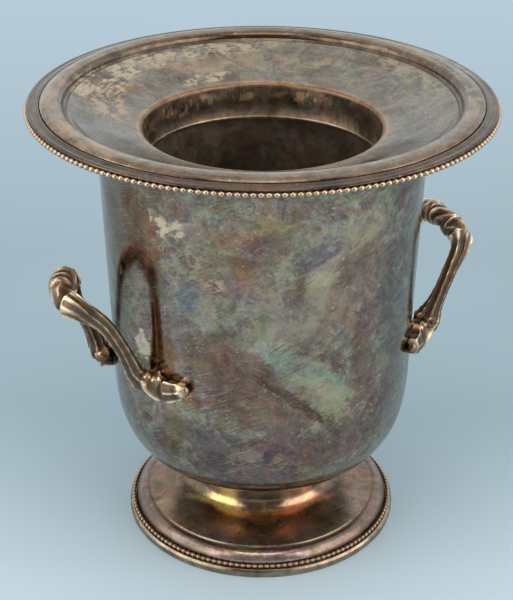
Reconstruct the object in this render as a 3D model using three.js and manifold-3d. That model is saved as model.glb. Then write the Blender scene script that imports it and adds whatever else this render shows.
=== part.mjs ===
// A footed, urn-shaped champagne bucket: a spun body on a trumpet foot, two cast loop handles,
// beaded edges, a lift-out liner, and a wide dished collar that lies on the rim and covers the
// ice. Millimetres, +Z up. The origin is the middle of the foot's base, and the handles are at
// the +X and -X sides.
import * as THREE from 'three';
import { mergeVertices } from 'three/addons/utils/BufferGeometryUtils.js';
import Module from 'manifold-3d';

const wasm = await Module();
wasm.setup();

// ---------------------------------------------------------------- driving dimensions
const SIDES = 40; // facets around every large turned piece
const GAP = 0.3; // between touching pieces
const SHEET = 1.2; // spun sheet metal

const RIM_R = 120; // outside of the rim's beads
const RIM_BEAD_R = 1.3;
const RIM_BEAD_Z = 242.5;
const RIM_SEAT_Z = 241; // underside of the body's flat flange
const RIM_BAND_INNER_R = 112.2;
const RIM_BAND_TOP_Z = 246.4;

const BELLY_R = 80.9; // where the rounded bottom meets the wall
const BELLY_TOP_Z = 113;
const BELLY_BOTTOM_Z = 37.1;
const BELLY_POWER = 3.65; // superellipse exponent of the rounded bottom
const WALL_TOP_R = 84.3; // the wall opens slightly towards the flare
const WALL_TOP_Z = 213.6;
const FLARE_END_R = 108;

const FOOT_R = 75.4;
const STEM_R = 36.8;
const FOOT_SKIRT_R = 71.5;
const FOOT_BEAD_RING_R = 73.1;
const FOOT_BEAD_R = 1.1;
const FOOT_BEAD_Z = 5.9;

const COLLAR_R = 111.8;
const COLLAR_TOP_Z = 247.5;
const DISH_R = 99.5; // where the step ends and the dish begins
const DISH_Z = 242.7;
const LIP_R = 62.2; // the opening for the bottle
const LIP_Z = 229.8;
const NECK_BOTTOM_Z = 210;

const LINER_R = 67;
const LINER_WALL = 1;
const LINER_BOTTOM_Z = 44;
const LINER_TOP_Z = 226;
const LINER_CORNER_R = 17;

const HANDLE_STUD_R = 2;
const FOOT_STUD_R = 4;

// ---------------------------------------------------------------- materials
const finish = {
  body: { color: 0x6d6b6a, roughness: 0.34, metalness: 1 },
  foot: { color: 0x806d5c, roughness: 0.26, metalness: 1 },
  rim: { color: 0x85776c, roughness: 0.3, metalness: 1 },
  bead: { color: 0x8c7257, roughness: 0.3, metalness: 1 },
  handle: { color: 0x8a6b48, roughness: 0.33, metalness: 1 },
  collar: { color: 0x7f7a70, roughness: 0.36, metalness: 1 },
  liner: { color: 0x54463a, roughness: 0.42, metalness: 1 },
  fixing: { color: 0xa18a55, roughness: 0.4, metalness: 1 },
};

const group = new THREE.Group();

function add(name, look, geometry, parent = group) {
  const mesh = new THREE.Mesh(geometry, new THREE.MeshStandardMaterial(finish[look]));
  mesh.name = name;
  parent.add(mesh);
  return mesh;
}

// ---------------------------------------------------------------- geometry helpers
function signedVolume(position, index) {
  const [a, b, c] = [new THREE.Vector3(), new THREE.Vector3(), new THREE.Vector3()];
  let sum = 0;
  for (let i = 0; i < index.length; i += 3) {
    a.fromBufferAttribute(position, index[i]);
    b.fromBufferAttribute(position, index[i + 1]);
    c.fromBufferAttribute(position, index[i + 2]);
    sum += a.dot(b.cross(c)) / 6;
  }
  return sum;
}

// One closed skin: shared points merged, empty triangles dropped, faces turned outward.
function closed(geometry) {
  geometry.deleteAttribute('normal');
  geometry.deleteAttribute('uv');
  const merged = mergeVertices(geometry, 1e-4);
  const kept = [];
  for (let i = 0; i < merged.index.count; i += 3) {
    const [a, b, c] = [0, 1, 2].map((k) => merged.index.getX(i + k));
    if (a !== b && b !== c && c !== a) kept.push(a, b, c);
  }
  if (signedVolume(merged.attributes.position, kept) < 0) kept.reverse();
  merged.setIndex(kept);
  merged.computeVertexNormals();
  return merged;
}

function toSolid(geometry) {
  const vertProperties = new Float32Array(geometry.attributes.position.array);
  const triVerts = new Uint32Array(geometry.index.array);
  return new wasm.Manifold(new wasm.Mesh({ numProp: 3, vertProperties, triVerts }));
}

function toGeometry(solid) {
  const mesh = solid.getMesh();
  const geometry = new THREE.BufferGeometry();
  geometry.setAttribute('position', new THREE.BufferAttribute(mesh.vertProperties, 3));
  geometry.setIndex(Array.from(mesh.triVerts));
  geometry.computeVertexNormals();
  return geometry;
}

// Turns an outline of (radius, height) points about +Z.
function turned(points, sides = SIDES) {
  const geometry = new THREE.LatheGeometry(points, sides);
  geometry.rotateY(Math.PI / 2);
  geometry.rotateX(Math.PI / 2);
  return closed(geometry);
}

// A ring whose outline closes on itself.
function turnedRing(points, sides = SIDES) {
  return turned([...points, points[0]], sides);
}

const point = (r, z) => new THREE.Vector2(r, z);

// Points of the quarter ellipse from (r0, z0) to (r1, z1); it leaves the first point vertically.
function quarter(r0, z0, r1, z1, steps) {
  const points = [];
  for (let i = 0; i <= steps; i++) {
    const a = ((i / steps) * Math.PI) / 2;
    points.push(point(r1 + (r0 - r1) * Math.cos(a), z0 + (z1 - z0) * Math.sin(a)));
  }
  return points;
}

// The same outline moved sideways by the sheet's thickness, to the left of its direction.
function offset(points, distance) {
  return points.map((p, i) => {
    const before = points[Math.max(i - 1, 0)];
    const after = points[Math.min(i + 1, points.length - 1)];
    const into = p.clone().sub(before).normalize();
    const out = after.clone().sub(p).normalize();
    if (i === 0) into.copy(out);
    if (i === points.length - 1) out.copy(into);
    const normal = point(-(into.y + out.y), into.x + out.x).normalize();
    const stretch = distance / Math.max(0.5, normal.dot(point(-out.y, out.x)));
    return point(Math.max(0, p.x + normal.x * stretch), p.y + normal.y * stretch);
  });
}

// Sheet metal: the outline, its offset back again.
function sheetOutline(points, distance) {
  return [...points, ...offset(points, distance).reverse()];
}

// A rod along +X from x0 to x1.
function rodAlongX(radius, x0, x1, sides) {
  const rod = new THREE.CylinderGeometry(radius, radius, x1 - x0, sides);
  rod.rotateZ(-Math.PI / 2);
  rod.translate((x0 + x1) / 2, 0, 0);
  return closed(rod);
}

// A round or hexagonal plate with a hole, standing on z = 0.
function holedPlate(outerR, holeR, height, outerSides, holeSides) {
  const shape = new THREE.Shape();
  for (let i = 0; i < outerSides; i++) {
    const a = (i / outerSides) * 2 * Math.PI;
    const [x, y] = [outerR * Math.cos(a), outerR * Math.sin(a)];
    if (i === 0) shape.moveTo(x, y);
    else shape.lineTo(x, y);
  }
  shape.closePath();
  const hole = new THREE.Path();
  hole.absarc(0, 0, holeR, 0, 2 * Math.PI, true);
  shape.holes.push(hole);
  const settings = { depth: height, bevelEnabled: false, curveSegments: holeSides };
  return closed(new THREE.ExtrudeGeometry(shape, settings));
}

// ---------------------------------------------------------------- body
const BELLY_STEPS = 9;
const FLARE_STEPS = 5;

function bellyOutline() {
  const points = [];
  const height = BELLY_TOP_Z - BELLY_BOTTOM_Z;
  for (let i = 0; i <= BELLY_STEPS; i++) {
    const a = ((1 - i / BELLY_STEPS) * Math.PI) / 2;
    const r = BELLY_R * Math.cos(a) ** (2 / BELLY_POWER);
    const z = BELLY_TOP_Z - height * Math.sin(a) ** (2 / BELLY_POWER);
    points.push(i === 0 ? point(0, BELLY_BOTTOM_Z) : point(r, z));
  }
  return points;
}

function wallRadius(z) {
  const share = (z - BELLY_TOP_Z) / (WALL_TOP_Z - BELLY_TOP_Z);
  return BELLY_R + (WALL_TOP_R - BELLY_R) * share;
}

const FLANGE_R = RIM_R - 2 * RIM_BEAD_R - 2 * GAP;
const bodyOutline = [
  ...bellyOutline(),
  ...quarter(WALL_TOP_R, WALL_TOP_Z, FLARE_END_R, RIM_SEAT_Z, FLARE_STEPS),
  point(FLANGE_R, RIM_SEAT_Z),
];

// The wall's outside radius at a height, along its straight facets.
function wallRadiusAt(z) {
  const upper = bodyOutline.findIndex((p) => p.y > z);
  const [a, b] = [bodyOutline[upper - 1], bodyOutline[upper]];
  return a.x + ((b.x - a.x) * (z - a.y)) / (b.y - a.y);
}

// The four places where a handle's stud goes through the wall: degrees from +X, and height.
const fixings = [
  { side: 'left', end: 'front', angle: 211.5, z: 113.2 },
  { side: 'left', end: 'rear', angle: 157.5, z: 98.6 },
  { side: 'right', end: 'front', angle: -31.5, z: 112 },
  { side: 'right', end: 'rear', angle: 31.5, z: 112 },
];

function atFixing(geometry, fixing) {
  const placed = geometry.clone();
  placed.rotateZ(THREE.MathUtils.degToRad(fixing.angle));
  placed.translate(0, 0, fixing.z);
  return placed;
}

const STUD_HOLE_R = HANDLE_STUD_R + GAP;
let bodySolid = toSolid(turned(sheetOutline(bodyOutline, SHEET)));
for (const fixing of fixings) {
  const drill = rodAlongX(STUD_HOLE_R, BELLY_R - 8, BELLY_R + 4, 12);
  bodySolid = bodySolid.subtract(toSolid(atFixing(drill, fixing)));
}
add('body_shell', 'body', toGeometry(bodySolid));

// ---------------------------------------------------------------- rim
const bandBottomZ = RIM_SEAT_Z + SHEET + GAP;
const lipZ = RIM_BEAD_Z + RIM_BEAD_R + GAP;
add('rim_band', 'rim', turnedRing([
  point(RIM_BAND_INNER_R, bandBottomZ),
  point(FLANGE_R, bandBottomZ),
  point(FLANGE_R, lipZ),
  point(FLANGE_R + 1.2, lipZ),
  point(FLANGE_R + 1.2, lipZ + 0.5),
  point(FLANGE_R + 0.5, lipZ + 1),
  point(RIM_BAND_INNER_R, RIM_BAND_TOP_Z),
]));

function wireOutline(ringR, z, r, corners = 8) {
  const points = [];
  for (let i = 0; i < corners; i++) {
    const a = (i / corners) * 2 * Math.PI;
    points.push(point(ringR + r * Math.cos(a), z + r * Math.sin(a)));
  }
  return points;
}

add('rim_bead_wire', 'bead', turnedRing(wireOutline(RIM_R - RIM_BEAD_R, RIM_BEAD_Z, RIM_BEAD_R)));

// ---------------------------------------------------------------- foot
const STEM_STRAIGHT_END_Z = 24;
const COVE_END_R = 46;
const COVE_END_Z = 16.4;
const STEP_R = 64;
const STEP_Z = 12.2;
const OVOLO_Z = 11.4;
const OVOLO_END_Z = 8;
const SKIRT_BOTTOM_Z = 0.6;
const stemTopZ = BELLY_BOTTOM_Z - GAP;

const footOutline = [
  point(FOOT_STUD_R + GAP, stemTopZ),
  point(STEM_R - 1, stemTopZ + 0.5),
  point(STEM_R, stemTopZ - 0.5),
  ...quarter(STEM_R, STEM_STRAIGHT_END_Z, COVE_END_R, COVE_END_Z, 3),
  point(STEP_R, STEP_Z),
  point(STEP_R + 0.6, OVOLO_Z),
  ...quarter(FOOT_SKIRT_R, OVOLO_END_Z, STEP_R + 2, OVOLO_Z, 3).reverse(),
  point(FOOT_SKIRT_R, SKIRT_BOTTOM_Z),
];
add('foot_shell', 'foot', turnedRing(sheetOutline(footOutline, -SHEET)));

add('foot_bead_wire', 'bead', turnedRing(wireOutline(FOOT_BEAD_RING_R, FOOT_BEAD_Z, FOOT_BEAD_R)));

const edgeTopZ = FOOT_BEAD_Z - FOOT_BEAD_R - GAP;
add('foot_edge_band', 'foot', turnedRing([
  point(FOOT_SKIRT_R + GAP, 0),
  point(FOOT_R, 0),
  point(FOOT_R, edgeTopZ - 1),
  point(FOOT_R - 1, edgeTopZ),
  point(FOOT_SKIRT_R + GAP, edgeTopZ),
]));

// The stud under the body, with its washer and nut inside the hollow foot.
const footStud = new THREE.CylinderGeometry(FOOT_STUD_R, FOOT_STUD_R, 18, 16);
footStud.rotateX(Math.PI / 2);
add('foot_stud', 'fixing', closed(footStud)).position.z = stemTopZ - 9;
const footWasher = holedPlate(11, FOOT_STUD_R + GAP, 1.6, 24, 8);
const footWasherZ = stemTopZ - SHEET - GAP - 1.6;
add('foot_washer', 'fixing', footWasher).position.z = footWasherZ;
const footNut = holedPlate(7.5, FOOT_STUD_R + GAP, 6.5, 6, 8);
add('foot_nut', 'fixing', footNut).position.z = footWasherZ - GAP - 6.5;

// ---------------------------------------------------------------- handles
// Each handle is one casting. Its line runs from the front leaf's tip, up the front leg and along
// the crossbar's first half. The right handle's rear half is the mirror image of its front half.
const rightFrontHalf = [
  [63.8, -55, 114.4],
  [69.5, -48.5, 112.6],
  [74.4, -41.6, 111.8],
  [79.3, -36.6, 113.2],
  [83.6, -34.6, 118.5],
  [86.8, -34.8, 125.5],
  [90.8, -34.2, 133.5],
  [97.5, -31.4, 144.5],
  [105.2, -26.4, 153],
  [110, -17.5, 156],
  [109.4, -8.5, 158.4],
  [107.8, 0, 160.4],
];
// The left handle is the same casting, pulled out of shape: its rear leg sits lower than its front.
const leftFrontHalf = [
  [-63.9, -54.6, 116.3],
  [-69.6, -48.4, 114],
  [-74.6, -41.4, 113],
  [-79.2, -36, 115],
  [-83, -33.4, 119.8],
  [-86, -33.2, 127],
  [-89.8, -32.8, 135.4],
  [-97, -30.4, 147.8],
  [-106.4, -26.2, 155.8],
  [-113.6, -17, 158.4],
  [-113, -8, 160.8],
  [-110.6, -0.5, 160.6],
];
const leftRearHalf = [
  [-71.3, 44.5, 101.7],
  [-75.5, 39, 98.8],
  [-79, 33.8, 97.8],
  [-83, 28, 99.6],
  [-85.8, 25.6, 104.8],
  [-87.6, 26.2, 112],
  [-91, 26.2, 121.5],
  [-96.4, 24, 135],
  [-100.2, 19.4, 147],
  [-103.6, 12.6, 154.4],
  [-107.2, 6, 158.6],
];
// At each station: half the thickness outward, and half the height across.
const halfSizes = [
  [1.2, 1.5],
  [2.8, 4.6],
  [4.2, 6.5],
  [5.2, 7],
  [5, 5.8],
  [4.4, 4.7],
  [4, 4.5],
  [4, 4.7],
  [4.8, 5.3],
  [5.5, 5.9],
  [6, 6.2],
  [5.2, 5.4],
];
const HANDLE_STEPS = 38;
const HANDLE_CORNERS = 8;

const mirrored = ([x, y, z]) => [x, -y, z];
const rightLoop = [...rightFrontHalf, ...rightFrontHalf.slice(0, -1).reverse().map(mirrored)];
const leftLoop = [...leftFrontHalf, ...leftRearHalf.reverse()];
const loopSizes = [...halfSizes, ...halfSizes.slice(0, -1).reverse()];

function loopSkin(line) {
  const centre = new THREE.CatmullRomCurve3(line.map((at) => new THREE.Vector3(...at)));
  const size = new THREE.SplineCurve(loopSizes.map((half) => new THREE.Vector2(...half)));
  const positions = [];
  const index = [];
  for (let i = 0; i <= HANDLE_STEPS; i++) {
    const t = i / HANDLE_STEPS;
    const middle = centre.getPoint(t);
    const along = centre.getTangent(t);
    const outward = new THREE.Vector3(middle.x, middle.y, 0).normalize();
    outward.addScaledVector(along, -outward.dot(along)).normalize();
    const across = new THREE.Vector3().crossVectors(along, outward);
    const half = size.getPoint(t);
    for (let k = 0; k < HANDLE_CORNERS; k++) {
      const a = (k / HANDLE_CORNERS) * 2 * Math.PI;
      const p = middle.clone().addScaledVector(outward, half.x * Math.cos(a));
      p.addScaledVector(across, half.y * Math.sin(a));
      positions.push(p.x, p.y, p.z);
    }
  }
  for (let i = 0; i < HANDLE_STEPS; i++) {
    for (let k = 0; k < HANDLE_CORNERS; k++) {
      const next = (k + 1) % HANDLE_CORNERS;
      const [a, b] = [i * HANDLE_CORNERS + k, i * HANDLE_CORNERS + next];
      const [c, d] = [a + HANDLE_CORNERS, b + HANDLE_CORNERS];
      index.push(a, b, c, b, d, c);
    }
  }
  const last = HANDLE_STEPS * HANDLE_CORNERS;
  for (let k = 1; k < HANDLE_CORNERS - 1; k++) {
    index.push(0, k + 1, k);
    index.push(last, last + k, last + k + 1);
  }
  const geometry = new THREE.BufferGeometry();
  geometry.setAttribute('position', new THREE.Float32BufferAttribute(positions, 3));
  geometry.setIndex(index);
  return closed(geometry);
}

// The wall with its clearance, as a plug that the leaves' backs are cut to.
function wallPlug() {
  const [low, high] = [BELLY_TOP_Z - 35, BELLY_TOP_Z + 40];
  return turned([
    point(0, low),
    point(wallRadius(BELLY_TOP_Z) + GAP, low),
    point(wallRadius(BELLY_TOP_Z) + GAP, BELLY_TOP_Z),
    point(wallRadius(high) + GAP, high),
    point(0, high),
  ]);
}

const STUD_TIP_R = BELLY_R + 4.4;
for (const [side, line] of [['right', rightLoop], ['left', leftLoop]]) {
  let solid = toSolid(loopSkin(line)).subtract(toSolid(wallPlug()));
  for (const fixing of fixings.filter((each) => each.side === side)) {
    const drill = rodAlongX(STUD_HOLE_R, BELLY_R - 2, STUD_TIP_R + GAP, 12);
    solid = solid.subtract(toSolid(atFixing(drill, fixing)));
  }
  add(`handle_${side}`, 'handle', toGeometry(solid));
}

// Each leaf has a stud through the wall, with a washer and a nut on the inside.
const WASHER_R = 4.6;
const WASHER_THICK = 1;
const NUT_THICK = 3.2;
for (const fixing of fixings) {
  const place = new THREE.Group();
  place.rotation.z = THREE.MathUtils.degToRad(fixing.angle);
  place.position.z = fixing.z;
  group.add(place);
  const name = `${fixing.side}_${fixing.end}`;
  const facetR = (wallRadiusAt(fixing.z - WASHER_R) - SHEET) * Math.cos(Math.PI / SIDES);
  const washerR = facetR - GAP - WASHER_THICK;
  const nutR = washerR - GAP - NUT_THICK;
  add(`stud_${name}`, 'fixing', rodAlongX(HANDLE_STUD_R, nutR - 0.8, STUD_TIP_R, 12), place);
  const washer = holedPlate(WASHER_R, STUD_HOLE_R, WASHER_THICK, 16, 6);
  washer.rotateY(Math.PI / 2);
  add(`washer_${name}`, 'fixing', washer, place).position.x = washerR;
  const nut = holedPlate(4.1, STUD_HOLE_R, NUT_THICK, 6, 6);
  nut.rotateY(Math.PI / 2);
  add(`nut_${name}`, 'fixing', nut, place).position.x = nutR;
}

// ---------------------------------------------------------------- liner
const cornerZ = LINER_BOTTOM_Z + LINER_CORNER_R;
const linerOutline = [
  point(0, LINER_BOTTOM_Z),
  ...quarter(LINER_R, cornerZ, LINER_R - LINER_CORNER_R, LINER_BOTTOM_Z, 5).reverse(),
  point(LINER_R, LINER_TOP_Z),
];
add('liner_can', 'liner', turned(sheetOutline(linerOutline, LINER_WALL)));
const LINER_WIRE_R = 1.4;
const linerWire = wireOutline(LINER_R + GAP + LINER_WIRE_R, LINER_TOP_Z - 1, LINER_WIRE_R, 6);
add('liner_rim_wire', 'liner', turnedRing(linerWire));

// ---------------------------------------------------------------- collar
const CREST_R = 103.5; // inner edge of the collar's flat band
const HOLE_CLEARANCE = 1.3; // from the lip to the edge of the plate's hole
const dishSlope = (DISH_Z - LIP_Z) / (DISH_R - LIP_R);
const plateHoleR = LIP_R + HOLE_CLEARANCE;
const collarOutline = [
  point(plateHoleR, LIP_Z + HOLE_CLEARANCE * dishSlope),
  point(DISH_R, DISH_Z),
  ...quarter(DISH_R, DISH_Z + 1, CREST_R, COLLAR_TOP_Z, 3),
  point(COLLAR_R - 0.8, COLLAR_TOP_Z - 0.3),
  point(COLLAR_R, COLLAR_TOP_Z - 1),
  point(COLLAR_R, bandBottomZ + GAP),
];
add('collar_plate', 'collar', turnedRing(sheetOutline(collarOutline, -SHEET)));

// The neck's top rolls over the edge of the plate's hole.
const neckOutline = [
  point(LIP_R - SHEET, NECK_BOTTOM_Z),
  point(LIP_R, NECK_BOTTOM_Z),
  point(LIP_R, LIP_Z),
  point(LIP_R + 0.4, LIP_Z + 0.9),
  point(plateHoleR + 0.6, LIP_Z + 1.2),
  point(plateHoleR + 0.4, LIP_Z + 1.9),
  point(LIP_R - 0.2, LIP_Z + 1.7),
  point(LIP_R - SHEET, LIP_Z + 0.6),
];
add('collar_neck', 'collar', turnedRing(neckOutline));

export default group;
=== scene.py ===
"""A footed champagne bucket in tarnished silver plate, with cast handles, beaded edges, a liner and a
loose dished collar. Metres, +Z up. Outlines and places are written in millimetres and scaled by MM."""
import math

import bpy
import numpy as np
from mathutils import Matrix, Vector


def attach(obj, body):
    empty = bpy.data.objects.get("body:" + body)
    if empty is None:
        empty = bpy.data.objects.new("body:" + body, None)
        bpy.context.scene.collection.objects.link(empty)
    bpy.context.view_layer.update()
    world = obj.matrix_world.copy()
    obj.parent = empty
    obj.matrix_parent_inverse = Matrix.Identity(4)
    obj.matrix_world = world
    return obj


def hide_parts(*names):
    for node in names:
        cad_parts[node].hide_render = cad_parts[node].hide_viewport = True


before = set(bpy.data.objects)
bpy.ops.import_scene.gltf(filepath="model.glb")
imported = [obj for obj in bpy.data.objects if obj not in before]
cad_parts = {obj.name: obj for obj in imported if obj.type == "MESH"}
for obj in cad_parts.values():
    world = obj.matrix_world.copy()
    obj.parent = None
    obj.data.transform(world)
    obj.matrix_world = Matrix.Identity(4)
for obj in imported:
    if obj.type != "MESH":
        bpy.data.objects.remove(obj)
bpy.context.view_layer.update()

MM = 0.001
TURNED_SEGMENTS, CAN_SEGMENTS = 192, 128
SHEET, CAN_SHEET = 1.2, 1.0
BACK_OFF = 0.3  # between touching pieces
ON_AXIS = 1e-6  # a point nearer the axis than this lies on it
FLAT_CORNER = 12  # degrees: a corner flatter than this is not rounded
ROUNDED_SHARE = 0.42  # the most of a side that a rounded corner takes
LEAST_LEAN = 0.5  # keeps a sharp corner from moving out too far
SHEET_SHARP, CAST_SHARP, BEAD_SHARP = 38, 60, 80  # degrees: edges sharper than this stay sharp
BEAD_STRETCH = 1.22  # along the ring
BEAD_CROWN = Vector((0.8, 0, 0.6))  # beads are lighter on their outer and upper side: rubbed bright there, and a painted highlight from above
# the wire between the beads takes the dark end of the tones: painted shade in the gaps
WIRE_CORNERS, WIRE_SHADE = 8, 0.25


# ------------------------ outlines, in millimetres
def unit(vectors):
    return vectors / np.linalg.norm(vectors, axis=-1, keepdims=True)


def quarter(r0, z0, r1, z1, steps):
    """The quarter ellipse from (r0, z0) to (r1, z1) that leaves its first point vertically."""
    turns = np.linspace(0, math.pi / 2, steps + 1)
    return [(r1 + (r0 - r1) * math.cos(a), z0 + (z1 - z0) * math.sin(a)) for a in turns]


def softened(points, radius, closed=True, steps=3):
    """The outline with its corners rounded."""
    points = [np.array(p, float) for p in points]
    count = len(points)
    out = []
    for i, p in enumerate(points):
        if not closed and i in (0, count - 1):
            out.append(tuple(p))
            continue
        into, away = p - points[i - 1], points[(i + 1) % count] - p
        side_in, side_out = np.linalg.norm(into), np.linalg.norm(away)
        cosine = np.clip(np.dot(into, away) / (side_in * side_out), -1, 1)
        if math.degrees(math.acos(cosine)) < FLAT_CORNER:
            out.append(tuple(p))
            continue
        cut = min(radius, ROUNDED_SHARE * side_in, ROUNDED_SHARE * side_out)
        a, b = p - into / side_in * cut, p + away / side_out * cut
        for t in np.linspace(0, 1, steps + 1):
            out.append(tuple((1 - t) ** 2 * a + 2 * t * (1 - t) * p + t * t * b))
    return out


def shifted(points, distance):
    """The outline moved sideways, to the left of its direction."""
    points = np.array(points, float)
    ahead = unit(np.vstack([points[1:] - points[:-1], points[-1:] - points[-2:-1]]))
    back = np.vstack([ahead[:1], ahead[:-1]])
    normal = unit(np.stack([-(ahead[:, 1] + back[:, 1]), ahead[:, 0] + back[:, 0]], 1))
    lean = normal[:, 0] * -ahead[:, 1] + normal[:, 1] * ahead[:, 0]
    moved = points + normal * (distance / np.maximum(LEAST_LEAN, lean))[:, None]
    moved[:, 0] = np.maximum(moved[:, 0], 0)
    return [tuple(p) for p in moved]


def sheet(points, thickness):
    """Sheet metal: the outline, and its other side back again."""
    return list(points) + shifted(points, thickness)[::-1]


def circle(ring_r, z, r, corners=12):
    """The section of a ring of wire."""
    turns = [2 * math.pi * i / corners for i in range(corners)]
    return [(ring_r + r * math.cos(a), z + r * math.sin(a)) for a in turns]


# ------------------------ meshes
def add_object(name, vertices, faces, sharp_degrees=SHEET_SHARP):
    mesh = bpy.data.meshes.new(name)
    mesh.from_pydata([tuple(v) for v in vertices], [], faces)
    mesh.validate()
    mesh.shade_smooth()
    mesh.set_sharp_from_angle(angle=math.radians(sharp_degrees))
    piece = bpy.data.objects.new(name, mesh)
    bpy.context.scene.collection.objects.link(piece)
    return piece


def on_circle(r, z, segments):
    """The points of a circle about +Z, in metres."""
    turns = [2 * math.pi * k / segments for k in range(segments)]
    return [(r * MM * math.cos(a), r * MM * math.sin(a), z * MM) for a in turns]


def between_rings(rings, closed=False):
    """The faces between neighbouring rings of vertex numbers."""
    pairs = list(zip(rings, rings[1:]))
    if closed:
        pairs.append((rings[-1], rings[0]))
    faces = []
    for low, high in pairs:
        for k in range(len(low)):
            n = (k + 1) % len(low)
            face = list(dict.fromkeys([low[k], low[n], high[n], high[k]]))
            if len(face) > 2:
                faces.append(face)
    return faces


def turned(name, outline, closed, segments=TURNED_SEGMENTS):
    """Turns an outline about +Z. Points on the axis become single vertices."""
    vertices, rings = [], []
    for r, z in outline:
        first = len(vertices)
        if r < ON_AXIS:
            rings.append([first] * segments)
            vertices.append((0, 0, z * MM))
        else:
            rings.append(range(first, first + segments))
            vertices += on_circle(r, z, segments)
    return add_object(name, vertices, between_rings(rings, closed))


def set_wear_and_light(piece, values):
    """Stores each vertex's wear and painted light, from 0 in a hollow (patina and painted shade) to 1 on a
    ridge (rubbed, with a painted highlight).
    """
    layer = piece.data.attributes.new("wear_and_light", "FLOAT", "POINT")
    layer.data.foreach_set("value", np.clip(values, 0, 1).astype(np.float32))


def ball(rings=8, sides=12):
    """A unit sphere's vertices and faces, with its poles on the X axis."""
    vertices, faces = [(1, 0, 0)], []
    for i in range(1, rings):
        a = math.pi * i / rings
        for k in range(sides):
            b = 2 * math.pi * k / sides
            vertices.append((math.cos(a), math.sin(a) * math.cos(b), math.sin(a) * math.sin(b)))
    vertices.append((-1, 0, 0))
    last = len(vertices) - 1
    for k in range(sides):
        n = (k + 1) % sides
        faces.append([0, 1 + k, 1 + n])
        for i in range(rings - 2):
            a = 1 + i * sides
            faces.append([a + k, a + sides + k, a + sides + n, a + n])
        faces.append([last, last - sides + n, last - sides + k])
    return np.array(vertices), faces


def bead_row(name, count, ring_r, z, bead_r, wire_r):
    """A ring of beads on a thin wire."""
    shape, ball_faces = ball()
    vertices, faces, wear_and_light = [], [], []
    for i in range(count):
        a = 2 * math.pi * i / count
        c, s = math.cos(a), math.sin(a)
        base = len(vertices)
        for x, y, h in shape:
            r = ring_r + bead_r * x
            t = bead_r * BEAD_STRETCH * y
            vertices.append(((r * c - t * s) * MM, (r * s + t * c) * MM, (z + bead_r * h) * MM))
            wear_and_light.append(0.5 + 0.5 * Vector((x, y, h)).dot(BEAD_CROWN) - 0.25 * abs(y))
        faces += [[base + v for v in face] for face in ball_faces]
    rings = []
    for r, h in circle(ring_r, z, wire_r, WIRE_CORNERS):
        rings.append(range(len(vertices), len(vertices) + count))
        vertices += on_circle(r, h, count)
    faces += between_rings(rings, closed=True)
    wear_and_light += [WIRE_SHADE] * (count * WIRE_CORNERS)
    piece = add_object(name, vertices, faces, BEAD_SHARP)
    set_wear_and_light(piece, np.array(wear_and_light))
    return piece


# ------------------------ body
BELLY_R, BELLY_TOP_Z, BELLY_BOTTOM_Z, BELLY_POWER = 80.9, 113.0, 37.1, 3.65
WALL_TOP_R, WALL_TOP_Z = 84.3, 213.6
FLARE_END_R, RIM_SEAT_Z, FLANGE_R = 108.0, 241.0, 116.8


def belly(steps):
    """The round bottom of the bowl, from the axis to the wall: a quarter of a squarish oval."""
    bend = 2 / BELLY_POWER
    points = []
    for i in range(steps + 1):
        a = (1 - i / steps) * math.pi / 2
        r = BELLY_R * max(0.0, math.cos(a)) ** bend if i else 0
        points.append((r, BELLY_TOP_Z - (BELLY_TOP_Z - BELLY_BOTTOM_Z) * math.sin(a) ** bend))
    return points


def wall_radius(z):
    """The bowl's outer radius at a height below the flare."""
    if z < BELLY_TOP_Z:
        drop = min(1.0, (BELLY_TOP_Z - z) / (BELLY_TOP_Z - BELLY_BOTTOM_Z))
        return BELLY_R * (1 - drop ** BELLY_POWER) ** (1 / BELLY_POWER)
    share = (z - BELLY_TOP_Z) / (WALL_TOP_Z - BELLY_TOP_Z)
    return BELLY_R + (WALL_TOP_R - BELLY_R) * share


wall = [(wall_radius(z), z) for z in np.linspace(BELLY_TOP_Z, WALL_TOP_Z, 25)[1:-1]]
flare = quarter(WALL_TOP_R, WALL_TOP_Z, FLARE_END_R, RIM_SEAT_Z, 16)
body_line = belly(40) + wall + flare + [(FLANGE_R, RIM_SEAT_Z)]
body = turned("body_spun_shell", sheet(body_line, SHEET), closed=False)

# ------------------------ rim
BAND_BOTTOM_Z, BAND_INNER_R = RIM_SEAT_Z + SHEET + BACK_OFF, 112.12
rim_band = turned("rim_moulding", softened([
    (BAND_INNER_R, BAND_BOTTOM_Z),
    (FLANGE_R, BAND_BOTTOM_Z),
    (FLANGE_R, 243.95),
    (118.5, 243.95),
    (118.6, 244.5),
    (118.1, 245.0),
    (117.2, 245.15),
    (115.9, 245.0),
    (114.6, 245.2),
    (113.5, 245.5),
    (112.85, 245.5),
    (112.4, 245.3),
    (BAND_INNER_R, 244.9),
], 0.15), closed=True)
rim_beads = bead_row("rim_bead_row", 214, 118.7, 242.5, 1.3, 0.85)

# ------------------------ foot
foot_line = softened([
    (4.3, 36.8),
    (35.6, 37.3),
    (36.8, 36.3),
    *quarter(36.8, 24, 46, 16.4, 12),
    (55, 14.35),
    (63.9, 12.25),
    (64.2, 11.5),
    (64.6, 11.6),
    *quarter(71.6, 5.4, 65.4, 12.0, 14)[::-1],
    (71.6, 0.6),
], 0.5, closed=False)
foot = turned("foot_spun_shell", sheet(foot_line, -SHEET), closed=True)
foot_beads = bead_row("foot_bead_row", 144, 73.1, 5.9, 1.1, 0.75)
foot_edge = turned("foot_edge_ring", softened([
    (71.8, 0),
    (75.1, 0),
    (75.4, 0.5),
    (75.2, 1.2),
    (75.4, 1.9),
    (75.4, 3.2),
    (74.4, 4.5),
    (71.8, 4.5),
], 0.35), closed=True)

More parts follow.
